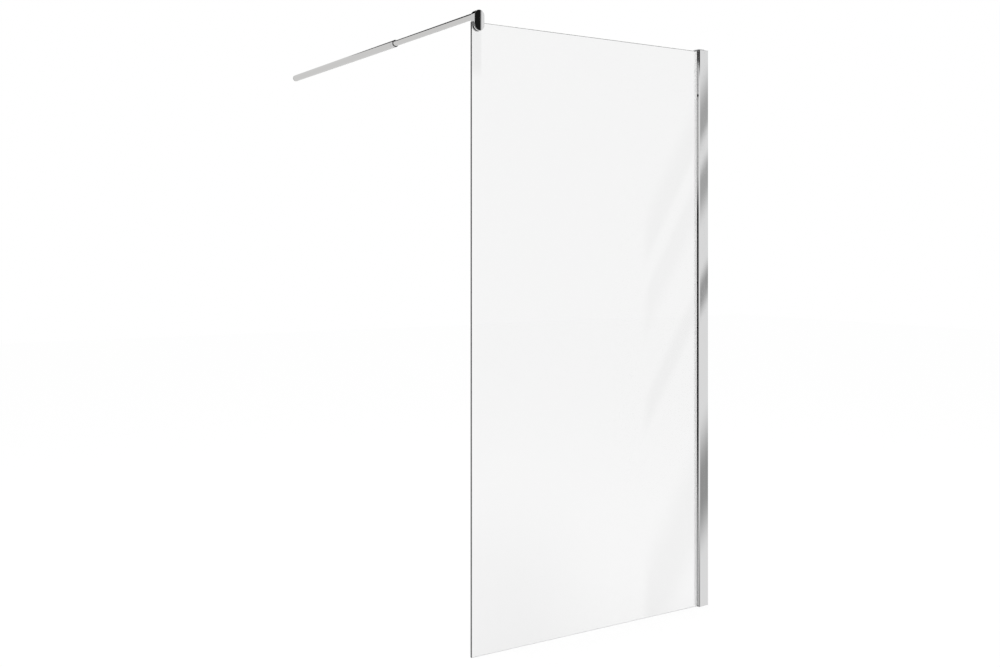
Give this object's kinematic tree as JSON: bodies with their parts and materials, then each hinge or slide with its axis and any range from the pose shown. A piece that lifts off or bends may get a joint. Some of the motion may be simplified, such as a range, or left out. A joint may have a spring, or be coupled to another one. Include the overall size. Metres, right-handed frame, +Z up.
{
  "type": "walk-in shower screen",
  "caption": "Walk-in shower screen: a clear glass panel in an adjustable chrome wall profile, braced at its free edge by a clamp and a telescopic support arm.",
  "frame": {"origin": "bottom of the wall profile's wall face, at the middle of the glass thickness and at the level of the shower tray", "axes": "+X out of the wall face into the wall, so that the glass runs from the wall towards -X; +Y along the support arm, from the glass to the opposite wall; +Z up"},
  "size_m": [0.99, 1.509, 2.0325],
  "materials": {
    "polished_chrome": "mirror polished",
    "clear_glass": "clear, polished edges",
    "clear_seal": "translucent, soft",
    "grey_cap": "metal-look moulding",
    "chrome_cover": "chrome-plated moulding",
    "white_nylon": "moulded",
    "black_nylon": "moulded",
    "black_rubber": "matt",
    "zinc_steel": "bright zinc",
    "brass_stud": "turned"
  },
  "bodies": {
    "wall_frame": {"wall_profile": "polished_chrome", "wall_profile_cap": "grey_cap"},
    "screen": {"glass_panel": "clear_glass", "glass_profile": "polished_chrome", "glass_profile_cap": "grey_cap", "front_seal": "clear_seal", "back_seal": "clear_seal", "setting_blocks": "white_nylon", "adjusting_screws": "zinc_steel", "adjusting_nuts": "zinc_steel", "screw_covers": "chrome_cover", "clamp_body": "polished_chrome", "clamp_liner": "black_rubber", "clamp_plate": "zinc_steel", "clamp_screws": "zinc_steel", "arm_spigot": "brass_stud", "spigot_screw": "zinc_steel", "inner_tube": "polished_chrome", "inner_tube_guide": "black_nylon"},
    "arm_tube": {"outer_tube": "polished_chrome", "collar": "polished_chrome", "collar_bush": "black_nylon", "collar_screw": "zinc_steel", "wall_socket": "polished_chrome", "socket_grub": "zinc_steel"}
  },
  "joints": [
    {"name": "wall_adjustment", "type": "slide", "parent": "wall_frame", "child": "screen", "axis": [-1, 0, 0], "range_m": [-0.007, 0.007]},
    {"name": "arm_telescope", "type": "slide", "parent": "screen", "child": "arm_tube", "axis": [0, 1, 0], "range_m": [-0.53, 0.08]}
  ]
}
